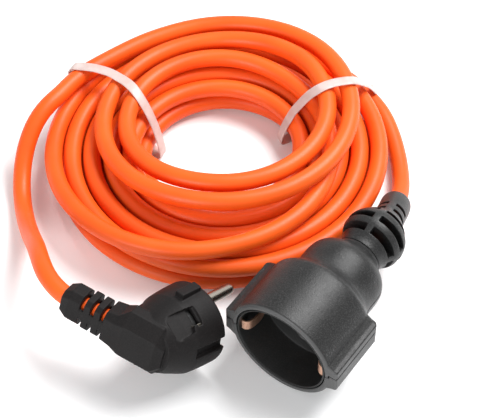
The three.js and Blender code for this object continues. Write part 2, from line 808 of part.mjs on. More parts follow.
function pin(name, side) {
  const body = turned([
    [-PIN_TAIL, 0],
    [-PIN_TAIL, PIN_R],
    [PIN_REACH - 2.2, PIN_R],
    [PIN_REACH - 0.9, PIN_R - 0.6],
    [PIN_REACH, PIN_R - 1.5],
    [PIN_REACH, 0],
  ], 16);
  return named(name, closed(body.translate(0, 0, (side * PIN_SPACING) / 2)), 'nickel');
}

// bar behind the carrier, an arm forward in each slot
function plugEarth() {
  const back = -CARRIER_DEPTH - 2 * SEAT_GAP;
  const front = -5.5;
  const inner = STRAP_R - STRAP_THICK;
  const shape = new THREE.Shape();
  shape.moveTo(back - STRAP_THICK, -STRAP_R);
  shape.lineTo(back - STRAP_THICK, STRAP_R);
  shape.lineTo(front - 3, STRAP_R);
  shape.lineTo(front, STRAP_R - 0.8);
  shape.lineTo(front, inner - 0.8);
  shape.lineTo(front - 3, inner);
  shape.lineTo(back, inner);
  shape.lineTo(back, -inner);
  shape.lineTo(front - 3, -inner);
  shape.lineTo(front, -inner + 0.8);
  shape.lineTo(front, -STRAP_R + 0.8);
  shape.lineTo(front - 3, -STRAP_R);
  shape.closePath();
  const strip = new THREE.ExtrudeGeometry(shape, { depth: STRAP_WIDTH, bevelEnabled: false });
  strip.translate(0, 0, -STRAP_WIDTH / 2);
  strip.rotateX((90 + SLOT_TURN) * DEG);
  return named('plug_earth_strap', closed(strip), 'nickel');
}

function plugCores() {
  const meshes = [];
  const crimpFrom = -PIN_TAIL - SEAT_GAP;
  const crimpTo = crimpFrom - CRIMP_LENGTH;
  const end = JACKET_START - SEAT_GAP;
  const place = (core, s, rise = 0) => {
    const [n, z] = corePlace(core);
    return onHandle(s, n, z + rise).toArray();
  };
  for (const [core, side, word] of [['brown', 1, 'upper'], ['blue', -1, 'lower']]) {
    const z = (side * PIN_SPACING) / 2;
    meshes.push(named(`plug_crimp_${word}`, closed(rod(crimpTo, crimpFrom, 1.9, 12, 0, z)), 'nickel'));
    const route = [
      [crimpTo - SEAT_GAP, 0, z],
      [crimpTo - SEAT_GAP - 1.2, 0, z],
      [-HANDLE_BACK - 0.3, 2.2, z * 0.8],
      place(core, 7, side * 2.4),
      place(core, end - 2.2),
      place(core, end),
    ];
    meshes.push(named(`plug_core_${core}`, closed(tube(vectors(route), CORE_D, 8, 1.6)), core));
  }
  const back = -CARRIER_DEPTH - 3 * SEAT_GAP - STRAP_THICK;
  const route = [
    [back, 0, 0],
    [back - 2, 0, 0],
    [-HANDLE_BACK + 3, 3, -0.6],
    place('earth', 8),
    place('earth', end - 2.2),
    place('earth', end),
  ];
  meshes.push(named('plug_core_earth', closed(tube(vectors(route), CORE_D, 8, 1.6)), 'earth'));
  return meshes;
}

function plug() {
  const group = new THREE.Group();
  group.add(
    plugOvermould(),
    pinCarrier(),
    pin('plug_pin_upper', 1),
    pin('plug_pin_lower', -1),
    plugEarth(),
    ...plugCores(),
  );
  group.rotation.set(0, -PLUG_AT.pitch * DEG, PLUG_AT.azimuth * DEG, 'ZYX');
  group.position.set(PLUG_AT.x, PLUG_AT.y, 0);
  group.updateMatrixWorld(true);
  // its lowest point touches the floor
  group.position.z = -new THREE.Box3().setFromObject(group, true).min.z;
  group.updateMatrixWorld(true);
  return group;
}

// ---------- assembly ----------
const socketGroup = socket();
const plugGroup = plug();
const route = coilRoute();
const least = leastGap(route);
console.log(`coil: least gap between strands ${least.gap.toFixed(2)} mm at points ${least.i} and ${least.k}`);

// a point beyond either end of the coil, on its straight run
function beyond(end, next, distance) {
  return end.clone().add(end.clone().sub(next).setLength(distance));
}

function leadRoute(start, chosen, end, next) {
  const meet = beyond(end, next, SEAT_GAP);
  return [...start, ...vectors(chosen), beyond(meet, next, CABLE_D), meet];
}

const socketStart = vectors(RELIEF_AXIS).map((p) => socketGroup.localToWorld(p));
const plugStart = [JACKET_START, JACKET_START + CABLE_D, 28, CORD_EXIT - 4.2]
  .map((s) => plugGroup.localToWorld(onHandle(s, 0, 0)));
const socketRoute = leadRoute(socketStart, SOCKET_LEAD, route[0], route[1]);
const plugRoute = leadRoute(plugStart, PLUG_LEAD, route.at(-1), route.at(-2));

const leadTube = (points) => closed(tube(points, CABLE_D, 10, CABLE_D));

const parts = new THREE.Group();
parts.add(
  named('cable_coil', closed(coilTube(route)), 'jacket'),
  named('cable_socket_lead', leadTube(socketRoute), 'jacket'),
  named('cable_plug_lead', leadTube(plugRoute), 'jacket'),
  ...TIES.map((tie) => tieBand(tie, [route, socketRoute, plugRoute])),
  socketGroup,
  plugGroup,
);

// origin on the floor under the middle of the socket and the ties
const own = new THREE.Box3();
own.expandByObject(socketGroup, true);
for (const tie of TIES) own.expandByObject(parts.getObjectByName(tie.name), true);
const middle = own.getCenter(new THREE.Vector3());
parts.position.set(-middle.x, -middle.y, 0);

const cord = new THREE.Group();
cord.add(parts);
cord.updateMatrixWorld(true);

export default cord;
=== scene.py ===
"""Extension cord: a tied coil of orange round cable with an angled earthed plug and a coupling socket.

Pieces are built in millimetres in their own frames and set into the row frame in metres. In the
socket's frame x runs from the mouth to the tail, and in the plug's frame from the hub to the pins.
"""
import math

import bmesh
import bpy
import numpy as np
from mathutils import Euler, Matrix, Vector


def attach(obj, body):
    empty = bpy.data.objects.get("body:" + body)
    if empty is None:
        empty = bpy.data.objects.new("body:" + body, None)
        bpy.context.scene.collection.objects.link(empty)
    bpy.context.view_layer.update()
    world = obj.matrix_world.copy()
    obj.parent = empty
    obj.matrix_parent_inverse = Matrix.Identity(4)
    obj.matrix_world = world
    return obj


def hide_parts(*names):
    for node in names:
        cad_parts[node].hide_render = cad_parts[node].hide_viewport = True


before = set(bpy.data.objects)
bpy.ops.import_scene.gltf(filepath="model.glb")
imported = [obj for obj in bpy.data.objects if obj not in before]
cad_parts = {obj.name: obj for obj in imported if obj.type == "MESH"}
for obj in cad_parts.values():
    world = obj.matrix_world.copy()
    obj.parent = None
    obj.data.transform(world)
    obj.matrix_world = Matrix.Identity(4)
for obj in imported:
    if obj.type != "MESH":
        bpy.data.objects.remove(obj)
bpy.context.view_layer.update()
scene = bpy.context.scene

MM = 0.001

# ---------- sizes, mm and degrees ----------
CABLE_D = 7.8
BORE_R = CABLE_D / 2 + 0.7  # hole that the cable passes through in the rubber
COIL_MIDDLE = (-10.02, 44.204, 0.0)
SOCKET_AT = (16.08, -72.296, 23.5)  # middle of the mouth
SOCKET_TURN = 54.5
PLUG_AT = (-17.92, -54.396, 17.64)  # middle of the pin face
PLUG_TURN = 45.0
PLUG_DIP = 20.0  # the pins point down by this much
HANDLE_X, HANDLE_LEAN = -24.5, 106.0  # where the handle's axis crosses the hub's, and its angle from x
CONTACT_SPACING = 19.0
PIN_R, PIN_LENGTH = 2.4, 19.0
ON_AXIS = 0.01  # radius at which a turned profile closes on its axis


def set_in(at, turn, dip=0.0):
    """Matrix from a piece's own millimetres to the row frame in metres."""
    place = Matrix.Translation(Vector(at)) @ Matrix.Rotation(math.radians(turn), 4, "Z")
    return Matrix.Scale(MM, 4) @ place @ Matrix.Rotation(math.radians(dip), 4, "Y")


COIL = set_in(COIL_MIDDLE, 0)
SOCKET = set_in(SOCKET_AT, SOCKET_TURN)
PLUG = set_in(PLUG_AT, PLUG_TURN, PLUG_DIP)


# ---------- mesh helpers ----------
def put_in(name, data):
    """Object for a mesh, lamp or camera, linked into the scene."""
    made = bpy.data.objects.new(name, data)
    scene.collection.objects.link(made)
    return made


def solid(name, rings, closed_ends=True):
    """Skin over rings of points, each with the same count."""
    count = len(rings[0])
    points = [tuple(p) for ring in rings for p in ring]
    faces = []
    for i in range(len(rings) - 1):
        for k in range(count):
            a, b = i * count + k, i * count + (k + 1) % count
            faces.append((a, b, b + count, a + count))
    if closed_ends:
        faces.append(tuple(range(count))[::-1])
        faces.append(tuple(range((len(rings) - 1) * count, len(rings) * count)))
    mesh = bpy.data.meshes.new(name)
    mesh.from_pydata(points, [], faces)
    work = bmesh.new()
    work.from_mesh(mesh)
    bmesh.ops.recalc_face_normals(work, faces=work.faces)
    work.to_mesh(mesh)
    work.free()
    return put_in(name, mesh)


def box(x0, x1, y0, y1, z0, z1):
    """Plain block."""
    ring = [(y0, z0), (y1, z0), (y1, z1), (y0, z1)]
    return solid("box", [[(x, y, z) for y, z in ring] for x in (x0, x1)])


def turned(name, profile, sides=96, z=0.0):
    """Body of revolution from (x, radius) pairs, about a line along x at that height."""
    angles = [2 * math.pi * k / sides for k in range(sides)]
    return solid(name, [[(x, r * math.cos(a), z + r * math.sin(a)) for a in angles]
                        for x, r in profile])


def circle(centre, side, up, radius, sides):
    """Ring of points round a centre, in the plane of side and up."""
    angles = 2 * np.pi * np.arange(sides) / sides
    return centre + radius * (np.cos(angles)[:, None] * side + np.sin(angles)[:, None] * up)


def curved(keys, per=6):
    """Smooth run of points through the keys, with that many to each span."""
    keys = np.array(keys, float)
    ends = np.vstack([2 * keys[0] - keys[1], keys, 2 * keys[-1] - keys[-2]])
    out = []
    for i in range(len(keys) - 1):
        p = ends[i:i + 4]
        gaps = np.maximum(np.linalg.norm(np.diff(p, axis=0), axis=1) ** 0.5, 1e-6)
        t = np.concatenate([[0], np.cumsum(gaps)])
        for u in np.linspace(t[1], t[2], per, endpoint=False):
            a = [(t[j + 1] - u) / gaps[j] * p[j] + (u - t[j]) / gaps[j] * p[j + 1] for j in range(3)]
            b = [(t[j + 2] - u) / (t[j + 2] - t[j]) * a[j] + (u - t[j]) / (t[j + 2] - t[j]) * a[j + 1]
                 for j in range(2)]
            out.append((t[2] - u) / gaps[1] * b[0] + (u - t[1]) / gaps[1] * b[1])
    out.append(keys[-1])
    return np.array(out)


def run_lengths(points):
    """Distance along a line of points, at each point."""
    return np.concatenate([[0], np.cumsum(np.linalg.norm(np.diff(points, axis=0), axis=1))])


def directions(points):
    """Unit direction of a line of points, at each point."""
    along = np.gradient(points, axis=0)
    return along / np.linalg.norm(along, axis=1)[:, None]


def modified(piece, kind, **settings):
    """The piece with one modifier applied."""
    modifier = piece.modifiers.new(kind, kind)
    for key, value in settings.items():
        setattr(modifier, key, value)
    view = bpy.context.evaluated_depsgraph_get()
    mesh = bpy.data.meshes.new_from_object(piece.evaluated_get(view), depsgraph=view)
    piece.modifiers.clear()
    old, piece.data = piece.data, mesh
    bpy.data.meshes.remove(old)
    return piece


def joined(piece, *others, way="UNION"):
    """The piece with the others added, which are used up."""
    for other in others:
        modified(piece, "BOOLEAN", object=other, operation=way, solver="MANIFOLD")
        bpy.data.objects.remove(other)
    return piece


def cut(piece, *others):
    """The piece with the others cut away."""
    return joined(piece, *others, way="DIFFERENCE")


ASKEW = Euler((0.4, 0.5, 0.6)).to_matrix().to_4x4()  # tilt of the grid against the piece's own faces


def moulded(piece, grain=0.3, passes=3):
    """Edges and corners softened as a mould leaves them; the grid lies askew, so it shows no steps."""
    piece.data.transform(ASKEW)
    modified(piece, "REMESH", mode="VOXEL", voxel_size=grain, use_smooth_shade=True)
    modified(piece, "SMOOTH", factor=0.5, iterations=passes)
    piece.data.transform(ASKEW.inverted())
    return piece


def settle(piece, name, matrix, material, slot, *nodes, crease=50):
    """Name, place, finish and body of a finished piece; edges over crease degrees stay sharp."""
    piece.name = piece.data.name = name
    piece.data.transform(matrix)
    piece.data.materials.clear()
    piece.data.materials.append(material)
    piece.data.shade_smooth()
    piece.data.set_sharp_from_angle(angle=math.radians(crease))
    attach(piece, "root")
    if nodes:
        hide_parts(*nodes)
    return piece


# ---------- materials ----------
NOISE = {"From Min": 0.3, "From Max": 0.7}  # where nearly all of a noise pattern's values lie
SHARE, FIRST, SECOND, MIXED = 0, 6, 7, 2  # the Mix node's sockets for colours, which share their names


def rgb(hexcode):
    """sRGB hex to linear, and opaque."""
    values = [int(hexcode[i:i + 2], 16) / 255 for i in (1, 3, 5)]
    return (*[v / 12.92 if v <= 0.04045 else ((v + 0.055) / 1.055) ** 2.4 for v in values], 1.0)


def link(tree, node, sources):
    """Outputs linked to the node's sockets."""
    for socket, source in sources.items():
        tree.links.new(source, node.inputs[socket])


def add(tree, kind, values=None, links=None, **settings):
    """One node with its settings, socket values and incoming links."""
    node = tree.nodes.new(kind)
    for key, value in settings.items():
        setattr(node, key, value)
    for socket, value in (values or {}).items():
        node.inputs[socket].default_value = value
    link(tree, node, links or {})
    return node


def material(name, values):
    """A new material and its shader, with the sockets that are the same all over."""
    made = bpy.data.materials.new(name)
    made.use_nodes = True
    shader = made.node_tree.nodes["Principled BSDF"]
    for socket, value in values.items():
        shader.inputs[socket].default_value = value
    return made, made.node_tree, shader


def per_metre(size_mm):
    """Texture scale for a feature of that size."""
    return 1000.0 / size_mm


def flexible_pvc(name, hexcode, shade):
    """Extruded flexible PVC: satin, with a faint ripple, a fine grain and a slow drift of tone."""
    made, tree, shader = material(name, {"IOR": 1.53, "Specular IOR Level": 0.27})
    where = {"Vector": add(tree, "ShaderNodeTexCoord").outputs["Object"]}
    # tone drifts over about 30 mm, as handling leaves it
    drift = add(tree, "ShaderNodeTexNoise", {"Scale": per_metre(30), "Detail": 3}, where)
    share = add(tree, "ShaderNodeMapRange", NOISE, {"Value": drift.outputs[0]})
    tone = add(tree, "ShaderNodeMix", {FIRST: rgb(hexcode), SECOND: rgb(shade)},
               {SHARE: share.outputs[0]}, data_type="RGBA")
    # grain of 0.6 mm, coarser than the real 0.1 mm so that it shows
    grain = add(tree, "ShaderNodeTexNoise", {"Scale": per_metre(0.6), "Detail": 2}, where)
    satin = add(tree, "ShaderNodeMapRange", {**NOISE, "To Min": 0.36, "To Max": 0.48},
                {"Value": grain.outputs[0]})
    # the die leaves a ripple about every 6 mm, much deeper than the grain
    ripple = add(tree, "ShaderNodeTexNoise", {"Scale": per_metre(6), "Detail": 2}, where)
    height = add(tree, "ShaderNodeMath", {1: 6.0}, {0: ripple.outputs[0], 2: grain.outputs[0]},
                 operation="MULTIPLY_ADD")
    bump = add(tree, "ShaderNodeBump", {"Strength": 0.25, "Distance": 0.00003},
               {"Height": height.outputs[0]})
    link(tree, shader, {"Base Color": tone.outputs[MIXED], "Roughness": satin.outputs[0],
                        "Normal": bump.outputs[0]})
    return made


def moulded_rubber(name, hexcode, worn_and_lit, grit, depth, rough, gloss, lit_face=None):
    """Thermoplastic rubber from an eroded steel mould: matt, with a fine even grit, paler edges and
    painted glints.

    A face is painted paler too, painted light where it looks to the front: lit_face is a matrix whose
    x starts at that face.
    """
    made, tree, shader = material(name, {"IOR": 1.5, "Specular IOR Level": gloss})
    where = add(tree, "ShaderNodeTexCoord").outputs["Object"]
    # the grit's size in mm is coarser than the real 0.1 mm so that it shows
    grain = add(tree, "ShaderNodeTexNoise",
                {"Scale": per_metre(grit), "Detail": 3, "Roughness": 0.6}, {"Vector": where})
    # edges that stand out wear paler, and the tops of the grit get painted glints, a painted highlight
    # in the colour
    edge = add(tree, "ShaderNodeNewGeometry").outputs["Pointiness"]
    rim = add(tree, "ShaderNodeMapRange", {"From Min": 0.56, "From Max": 0.68, "To Max": 0.7},
              {"Value": edge})
    painted_glint = add(tree, "ShaderNodeMapRange", {"From Min": 0.45, "From Max": 0.75, "To Max": 0.5},
                {"Value": grain.outputs[0]})
    wear_and_painted_light = add(tree, "ShaderNodeMath", links={0: rim.outputs[0], 1: painted_glint.outputs[0]},
               operation="MAXIMUM")
    if lit_face:
        out = add(tree, "ShaderNodeVectorMath", {1: lit_face.translation}, {0: where},
                  operation="SUBTRACT")
        inward = lit_face.to_3x3().col[0].normalized()
        away = add(tree, "ShaderNodeVectorMath", {1: inward}, {0: out.outputs[0]},
                   operation="DOT_PRODUCT")
        # the painted light on the face fades out between 0.4 and 0.9 mm behind it
        face = add(tree, "ShaderNodeMapRange",
                   {"From Min": 0.0004, "From Max": 0.0009, "To Min": 1, "To Max": 0},
                   {"Value": away.outputs["Value"]})
        wear_and_painted_light = add(tree, "ShaderNodeMath", links={0: face.outputs[0], 1: wear_and_painted_light.outputs[0]},
                   operation="MAXIMUM")
    tone = add(tree, "ShaderNodeMix", {FIRST: rgb(hexcode), SECOND: rgb(worn_and_lit)},
               {SHARE: wear_and_painted_light.outputs[0]}, data_type="RGBA")
    # handling polishes it in patches of about 9 mm
    cloud = add(tree, "ShaderNodeTexNoise", {"Scale": per_metre(9), "Detail": 3}, {"Vector": where})
    matt = add(tree, "ShaderNodeMapRange",
               {**NOISE, "To Min": rough - 0.05, "To Max": rough + 0.05}, {"Value": cloud.outputs[0]})
    bump = add(tree, "ShaderNodeBump", {"Strength": 0.6, "Distance": depth},
               {"Height": grain.outputs[0]})
    link(tree, shader, {"Base Color": tone.outputs[MIXED], "Roughness": matt.outputs[0],
                        "Normal": bump.outputs[0]})
    return made


def natural_nylon(name, hexcode, shade):
    """Undyed moulded nylon strip: milky, waxy and half clear, so that the cable shows through it."""
    made, tree, shader = material(name, {
        "IOR": 1.53, "Transmission Weight": 0.35, "Roughness": 0.38, "Specular IOR Level": 0.5})
    where = {"Vector": add(tree, "ShaderNodeTexCoord").outputs["Object"]}
    # the melt clouds over about 4 mm
    cloud = add(tree, "ShaderNodeTexNoise", {"Scale": per_metre(4), "Detail": 3}, where)
    share = add(tree, "ShaderNodeMapRange", NOISE, {"Value": cloud.outputs[0]})
    tone = add(tree, "ShaderNodeMix", {FIRST: rgb(hexcode), SECOND: rgb(shade)},
               {SHARE: share.outputs[0]}, data_type="RGBA")
    bump = add(tree, "ShaderNodeBump", {"Strength": 0.3, "Distance": 0.00004},
               {"Height": cloud.outputs[0]})
    link(tree, shader, {"Base Color": tone.outputs[MIXED], "Normal": bump.outputs[0]})
    return made


def bare_metal(name, hexcode, dark, rough):
    """Bare or plated metal with the faint mottle and scratches that forming leaves."""
    made, tree, shader = material(name, {"Metallic": 1.0})
    where = {"Vector": add(tree, "ShaderNodeTexCoord").outputs["Object"]}
    # scratches of 0.4 mm, coarser than the real ones so that they show
    marks = add(tree, "ShaderNodeTexNoise", {"Scale": per_metre(0.4), "Detail": 4}, where)
    share = add(tree, "ShaderNodeMapRange", NOISE, {"Value": marks.outputs[0]})
    tone = add(tree, "ShaderNodeMix", {FIRST: rgb(hexcode), SECOND: rgb(dark)},
               {SHARE: share.outputs[0]}, data_type="RGBA")
    dull = add(tree, "ShaderNodeMapRange", {**NOISE, "To Min": rough, "To Max": rough + 0.15},
               {"Value": marks.outputs[0]})
    bump = add(tree, "ShaderNodeBump", {"Strength": 0.2, "Distance": 0.00002},
               {"Height": marks.outputs[0]})
    link(tree, shader, {"Base Color": tone.outputs[MIXED], "Roughness": dull.outputs[0],
                        "Normal": bump.outputs[0]})
    return made


def core_insulation(name, hexcode, stripe=None):
    """Smooth extruded PVC insulation; the earth core has yellow bands on the green."""
    made, tree, shader = material(name, {"IOR": 1.53, "Roughness": 0.35})
    where = {"Vector": add(tree, "ShaderNodeTexCoord").outputs["Object"]}
    # this node sets its bands 6 mm apart at a scale for 20 mm
    band = add(tree, "ShaderNodeTexWave", {"Scale": per_metre(20), "Distortion": 1.5}, where)
    share = add(tree, "ShaderNodeMapRange", {"From Min": 0.45, "From Max": 0.55},
                {"Value": band.outputs["Fac"]})
    tone = add(tree, "ShaderNodeMix", {FIRST: rgb(hexcode), SECOND: rgb(stripe or hexcode)},
               {SHARE: share.outputs[0]}, data_type="RGBA")
    link(tree, shader, {"Base Color": tone.outputs[MIXED]})
    return made


# sheath: strong orange with a soft bright line along each turn
ORANGE_PVC = flexible_pvc("Orange_PVC_sheath", "#f1601c", "#e85515")
# socket: the grit spreads its highlight to a grey haze, its pale specks are painted glints, and the
# mouth's face is painted paler as painted light
BLACK_RUBBER = moulded_rubber("Black_rubber_eroded_mould", "#121212", "#4c4c4c", 0.5, 0.0002, 0.37,
                              0.3, SOCKET)
# plug: a finer mould, so it stays a deep, slightly brown black, with faint painted glints on its grit
PLUG_RUBBER = moulded_rubber("Black_rubber_smooth_mould", "#100e0e", "#262222", 0.6, 0.00004, 0.55,
                             0.16)
# recess and pin disc: stiffer and a little glossier than the rubber; its pale specks are painted
# glints
BLACK_NYLON = moulded_rubber("Black_nylon_insert", "#161616", "#343434", 0.5, 0.00003, 0.42, 0.35)
# ties: milky; their pink tint is painted light, the orange of the cable seen through them
NYLON = natural_nylon("Natural_nylon", "#e9d9d4", "#dcc6bf")
# pins and earth strip: bright and faintly yellow
NICKEL = bare_metal("Nickel_plate", "#b3ada3", "#857f77", 0.2)
# crimps: dull silver
TINNED = bare_metal("Tinned_copper", "#cfcdc8", "#a5a29c", 0.3)
# contacts and earth arms: pink springy copper alloy
BRONZE = bare_metal("Phosphor_bronze", "#efc4ab", "#cf9d80", 0.3)
# cores: plain glossy colours
BROWN_CORE = core_insulation("Brown_insulation", "#6b3d22")
BLUE_CORE = core_insulation("Blue_insulation", "#2a5fae")
EARTH_CORE = core_insulation("Green_yellow_insulation", "#3f8f3a", "#e3c92f")


# ---------- cable ----------
COIL_FIRST, COIL_LAST = 0.125, 12.29  # turns at which the leads start and end
COIL_STEP = 1 / 72  # of a turn
COIL_TURN_0 = 35.0  # direction of turn 0, degrees
COIL_OVAL, COIL_X, COIL_LIFT = 1.03, 1.8, 1.7  # stretch along x, shift along x, gap under the cable
LAYER = CABLE_D + 0.5
RADIUS, SHIFT = 1, 2  # fields of the keys
COIL_KEYS = [  # turn, radius, shift along y
    (0, 71.8, -4), (4.4, 34.6, -4), (4.65, 32.5, -4), (4.9, 34.6, -4), (9.37, 72.4, -4),
    (9.54, 72.4, -3), (9.72, 61, 0), (10, 36.6, 5.5), (12.29, 59.8, 5.5),
]
NEIGHBOURS = range(-2, 3)  # places 1/24 turn apart over which the radius is averaged
WEIGHTS = [0.5 + 0.5 * math.cos(math.pi * k / 3) for k in NEIGHBOURS]
# climbs to the next layer: first turn, and how many turns it takes
TO_SECOND, TO_THIRD, TO_TOP = (4.4, 0.5), (9.36, 0.22), (10.1, 0.5)
TOP_AT, TOP_WIDTH = 325.0, 0.62  # direction in which the last turns ride over the rest, and its share

# leads point by point, in metres from the coil's middle
SOCKET_LEAD = [
    (0.0802, -0.0225, 0.0068), (0.081, -0.012, 0.0049), (0.0804, 0, 0.0044), (0.0784, 0.012, 0.0049),
    (0.075, 0.0232, 0.0056), (0.0692, 0.0338, 0.0056), (0.0628, 0.042, 0.0056),
    (0.0554, 0.0494, 0.0056), (0.047, 0.056, 0.0056), (0.0374, 0.0612, 0.0056),
    (0.027, 0.0646, 0.0056),
]
PLUG_LEAD = [
    (-0.059, -0.0945, 0.02975), (-0.0626, -0.0911, 0.03), (-0.0656, -0.0871, 0.0299),
    (-0.068, -0.0827, 0.0293), (-0.0698, -0.078, 0.0282), (-0.0718, -0.0716, 0.0257),
    (-0.0736, -0.0654, 0.0223), (-0.0755, -0.0594, 0.0182), (-0.0775, -0.0534, 0.0141),
    (-0.0795, -0.0472, 0.0106), (-0.0814, -0.0408, 0.0078), (-0.0831, -0.0341, 0.0055),
    (-0.0847, -0.0266, 0.0045), (-0.0856, -0.0192, 0.0055), (-0.0857, -0.0122, 0.0083),
    (-0.0849, -0.0062, 0.0118), (-0.0835, -0.001, 0.0152), (-0.0809, 0.005, 0.019),
    (-0.0775, 0.0104, 0.0217), (-0.074, 0.015, 0.0229), (-0.0702, 0.0198, 0.0231),
    (-0.065, 0.028, 0.0226), (-0.0594, 0.0344, 0.0223),
]
IN_PLUG = (35.5, 28, 21.8, 14)  # places along the plug's handle that the cable goes through
RELIEF_AXIS = [(54.5, 0, 0), (62.5, 0, 0), (72, 0.4, -1.3), (82, 2, -4.8), (91, 4.4, -9.2),
               (98, 6.8, -13)]
SPAN_POINTS = 12  # points to each span of the leads
EASING = 6  # passes that take the last corners out of the cable
PATH_STEP = 0.0022  # metres


def ease(u):
    """Soft step from 0 to 1."""
    v = min(max(u, 0.0), 1.0)
    return v * v * (3 - 2 * v)


def keyed(turn, field, soft):
    """Value of a field of the coil's keys at a turn."""
    i = max([0] + [k for k in range(len(COIL_KEYS) - 1) if COIL_KEYS[k][0] <= turn])
    a, b = COIL_KEYS[i], COIL_KEYS[i + 1]
    u = min(max((turn - a[0]) / (b[0] - a[0]), 0.0), 1.0)
    return a[field] + (b[field] - a[field]) * (ease(u) if soft else u)


def climbed(turn, climb):
    """How much of a climb is done at a turn: under 0 before it, over 1 after it."""
    return (turn - climb[0]) / climb[1]


def coil_point(turn):
    """Centre of the cable after that many turns, mm from the coil's middle."""
    angle = math.radians(COIL_TURN_0 + 360 * turn)
    radius = sum(w * keyed(turn + k / 24, RADIUS, False) for w, k in zip(WEIGHTS, NEIGHBOURS))
    radius /= sum(WEIGHTS)
    layers = min(max(climbed(turn, TO_SECOND), 0.0), 1.0) + ease(climbed(turn, TO_THIRD))
    riding = ease(TOP_WIDTH * (1 + math.cos(angle - math.radians(TOP_AT))))
    layers += ease(climbed(turn, TO_TOP)) * riding
    return (COIL_X + COIL_OVAL * radius * math.cos(angle),
            keyed(turn, SHIFT, True) + radius * math.sin(angle),
            COIL_LIFT + CABLE_D / 2 + layers * LAYER)


def on_handle(s, n, z):
    """Point in the plug's frame: s along the handle, n towards the pins."""
    lean = math.radians(HANDLE_LEAN)
    return (HANDLE_X + s * math.cos(lean) + n * math.sin(lean),
            s * math.sin(lean) - n * math.cos(lean), z)


def cable_path():
    """Centreline in the row frame, in metres, from inside the socket to inside the plug."""
    middle = Vector(COIL_MIDDLE) * MM
    first = [SOCKET @ Vector(p) for p in RELIEF_AXIS] + [Vector(p) + middle for p in SOCKET_LEAD]
    last = [Vector(p) + middle for p in reversed(PLUG_LEAD)]
    last += [PLUG @ Vector(on_handle(s, 0, 0)) for s in IN_PLUG]
    turns = np.arange(COIL_FIRST, COIL_LAST, COIL_STEP)
    coil = np.array([COIL @ Vector(coil_point(t)) for t in turns])
    # each lead runs a little way into the coil, to join without a corner, and that part is dropped
    start = curved([*first, *coil[4:8:2]], SPAN_POINTS)[:-SPAN_POINTS - 1]
    end = curved([*coil[-8:-3:2], *last], SPAN_POINTS)[2 * SPAN_POINTS + 1:]
    path = np.vstack([start, coil[5:-5], end])
    for _ in range(EASING):
        path[1:-1] = path[1:-1] / 2 + (path[:-2] + path[2:]) / 4
    along = run_lengths(path)
    even = np.linspace(0, along[-1], int(along[-1] / PATH_STEP))
    return np.array([np.interp(even, along, path[:, k]) for k in range(3)]).T, along[-1]


def tube(name, path, radius, sides=28):
    """Round tube along a path, its sections carried along without twist."""
    along = directions(path)
    side = np.cross((0, 0, 1), along[0])
    rings = []
    for p, t in zip(path, along):
        side = side - side.dot(t) * t
        side /= np.linalg.norm(side)
        rings.append(circle(p, side, np.cross(t, side), radius, sides))
    return solid(name, rings)


path, cable_length = cable_path()
cable = settle(tube("cable", path, CABLE_D / 2 * MM), "cable", Matrix(), ORANGE_PVC, "jacket",
               "cable_coil", "cable_socket_lead", "cable_plug_lead")


# ---------- ties ----------
# middle line of each band, from its outer foot over the coil to its inner foot and back under it,
# in mm from the coil's middle
TIE_RUNS = {
    "tie_left": [
        (-58.4, 36.6, 0.8), (-60.3, 38, 2.6), (-61.6, 38.9, 5.6), (-62.8, 39.4, 9.5), (-64.2, 39, 14),
        (-65.6, 37.4, 18), (-66.5, 35.8, 22), (-66, 34.8, 24.6), (-64.4, 34.1, 26.5), (-62, 33.4, 27),
        (-60, 33, 27.2), (-57.5, 32.4, 27.4), (-55.4, 31.9, 27.5), (-53.2, 31.2, 27.5),
        (-51.1, 30.4, 27.5), (-48.8, 29.4, 27.5), (-46.5, 28, 27.5), (-44.4, 26.4, 27.5),
        (-42, 24.6, 27.5), (-39.9, 22.7, 27.5), (-37.9, 20.4, 27.5), (-36.2, 18.2, 27),
        (-34.3, 16, 25.6), (-32.7, 14.3, 23.6), (-30.9, 12.2, 21), (-29.3, 10.3, 18), (-28, 9, 14.6),
        (-26.9, 7.5, 11.4), (-26.1, 6.3, 8.8), (-25.3, 4.8, 6.4), (-24.6, 2.9, 3.8), (-25, 2, 1.6),
        (-27.5, 5, 0.7), (-36, 14, 0.6), (-48, 26, 0.6),
    ],
    "tie_right": [
        (68.6, 37.2, 0.8), (70.3, 38.5, 2.5), (71.3, 39.1, 5.6), (71.7, 37.2, 8.4), (71, 34.1, 10.2),
        (70.1, 33.4, 12.4), (68.8, 32.3, 15), (67.6, 30.6, 18), (66.1, 28.1, 21.5), (64.4, 25, 25.5),
        (62.5, 21.4, 30), (60.1, 17.3, 34.9), (57.8, 16.6, 35.7), (55.7, 16.1, 35.8),
        (53.6, 15.7, 35.8), (51.5, 15.2, 35.7), (49.4, 14.5, 35.6), (47.3, 13.6, 35.5),
        (45.2, 12.8, 34.9), (43.1, 12.5, 33.4), (41.1, 12.4, 31.5), (39, 12.2, 29), (37, 11.9, 26.2),
        (35.3, 11.6, 23.7), (33.6, 11.3, 21.2), (32.2, 10.4, 18.7), (30.8, 9.2, 16.6),
        (29.8, 9.2, 13.4), (28.8, 9.5, 9.8), (28.1, 10, 6.2), (27.9, 10.6, 2.6), (29.5, 12, 0.75),
        (36, 16.5, 0.6), (47, 24, 0.6), (58, 31, 0.6),
    ],
}
TIE_WIDTH, TIE_THICK = 4.8, 0.8
TIE_SPAN_POINTS = 6  # points to each span of the middle line
TIE_EASING = 8  # passes that take the last corners out of it
# section as shares of width and thickness, with its corners taken off
TIE_SECTION = [(-0.5, -0.3), (-0.42, -0.5), (0.42, -0.5), (0.5, -0.3),
               (0.5, 0.3), (0.42, 0.5), (-0.42, 0.5), (-0.5, 0.3)]


